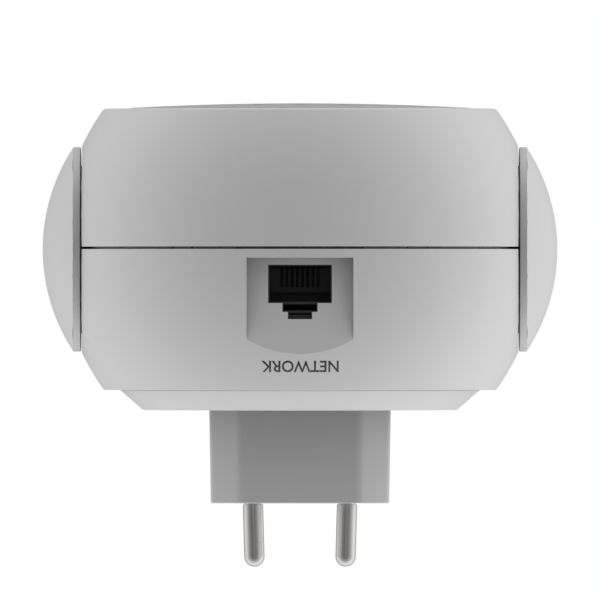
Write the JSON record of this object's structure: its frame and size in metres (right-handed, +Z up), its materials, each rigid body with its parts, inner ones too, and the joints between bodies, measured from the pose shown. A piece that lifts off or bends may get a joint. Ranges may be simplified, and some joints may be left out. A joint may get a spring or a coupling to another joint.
{
  "type": "wifi range extender",
  "caption": "Ball-shaped plug-in wireless range extender with flat front, fold-round paddle antennas on both sides, a network socket below and a round-pin mains plug.",
  "frame": {"origin": "centre of the plug's end face, midway between the two pins", "axes": "+Y out of the plug along the pins, into the wall; +Z up in use, the way the antennas point; +X to the right seen from the room"},
  "size_m": [0.1012, 0.0912, 0.1295],
  "materials": {
    "housing_white": "fine satin moulding texture, pale neutral white",
    "panel_white": "smooth white front cover",
    "plug_white": "satin white moulded plug and base",
    "button_white": "satin pale button cap",
    "pin_nickel": "nickel-plated brass, bright",
    "clear_light_guide": "clear moulded light guide",
    "screw_steel": "zinc-plated steel",
    "spring_steel": "bare spring steel",
    "board_green": "glass-fibre circuit board with green solder mask",
    "chip_black": "black epoxy chip package",
    "thermal_grey": "soft grey silicone pad",
    "sink_aluminium": "extruded aluminium",
    "tinned_steel": "thin tinned steel",
    "lamp_white": "small status lamps",
    "socket_black": "black glass-filled nylon",
    "contact_gold": "gold-plated phosphor bronze",
    "switch_black": "black switch body",
    "plunger_brown": "brown switch plunger",
    "ferrite_grey": "sintered ferrite",
    "tape_yellow": "polyester tape over copper wire",
    "can_sleeve": "dark shrink sleeve over an aluminium can",
    "block_yellow": "yellow capacitor case",
    "fuse_sleeve": "ceramic fuse tube",
    "sheet_clear": "translucent polyester sheet",
    "aerial_copper": "bare copper track",
    "washer_dark": "dark grey slip washer",
    "lead_grey": "dark coaxial jacket",
    "connector_gold": "gold-plated micro connector"
  },
  "bodies": {
    "housing": {"front_shell": "housing_white", "rear_shell": "housing_white", "front_panel": "panel_white", "light_pipe": "clear_light_guide", "base_plate": "plug_white", "plug_block": "plug_white", "plug_pin_left": "pin_nickel", "plug_pin_right": "pin_nickel", "base_screws": "screw_steel", "main_board": "board_green", "board_screws": "screw_steel", "processor": "chip_black", "thermal_pad": "thermal_grey", "heat_sink": "sink_aluminium", "memory_chips": "chip_black", "radio_shields": "tinned_steel", "status_leds": "lamp_white", "ethernet_jack": "socket_black", "ethernet_contacts": "contact_gold", "ethernet_transformer": "chip_black", "header_pins": "contact_gold", "header_block": "socket_black", "wps_switch": "switch_black", "reset_switch": "switch_black", "power_board": "board_green", "power_screws": "screw_steel", "transformer_core": "ferrite_grey", "transformer_winding": "tape_yellow", "mains_capacitors": "can_sleeve", "output_capacitors": "can_sleeve", "suppression_capacitor": "block_yellow", "mains_fuse": "fuse_sleeve", "insulating_sheet": "sheet_clear", "friction_washer_right": "spring_steel", "pivot_washer_right": "washer_dark", "antenna_lead_right": "lead_grey", "lead_plug_right": "connector_gold", "friction_washer_left": "spring_steel", "pivot_washer_left": "washer_dark", "antenna_lead_left": "lead_grey", "lead_plug_left": "connector_gold"},
    "antenna_right": {"antenna_tray_right": "housing_white", "antenna_cover_right": "housing_white", "antenna_board_right": "board_green", "antenna_copper_right": "aerial_copper", "antenna_clip_right": "spring_steel"},
    "antenna_left": {"antenna_tray_left": "housing_white", "antenna_cover_left": "housing_white", "antenna_board_left": "board_green", "antenna_copper_left": "aerial_copper", "antenna_clip_left": "spring_steel"},
    "pairing_button": {"wps_button": "button_white", "wps_plunger": "plunger_brown"},
    "reset_key": {"reset_plunger": "plunger_brown"}
  },
  "joints": [
    {"name": "antenna_right_turn", "type": "hinge", "parent": "housing", "child": "antenna_right", "pos_m": [0, -0.04995, 0], "axis": [1, 0, 0], "range_deg": [0, 180]},
    {"name": "antenna_left_turn", "type": "hinge", "parent": "housing", "child": "antenna_left", "pos_m": [0, -0.04995, 0], "axis": [1, 0, 0], "range_deg": [0, 180]},
    {"name": "pairing_press", "type": "slide", "parent": "housing", "child": "pairing_button", "axis": [0, 0, 1], "range_m": [-0.0005, 0], "stiffness_N_per_m": 1500, "springref_m": 0.0003},
    {"name": "reset_press", "type": "slide", "parent": "housing", "child": "reset_key", "axis": [0, 0, 1], "range_m": [-0.0005, 0], "stiffness_N_per_m": 1500, "springref_m": 0.0003}
  ]
}
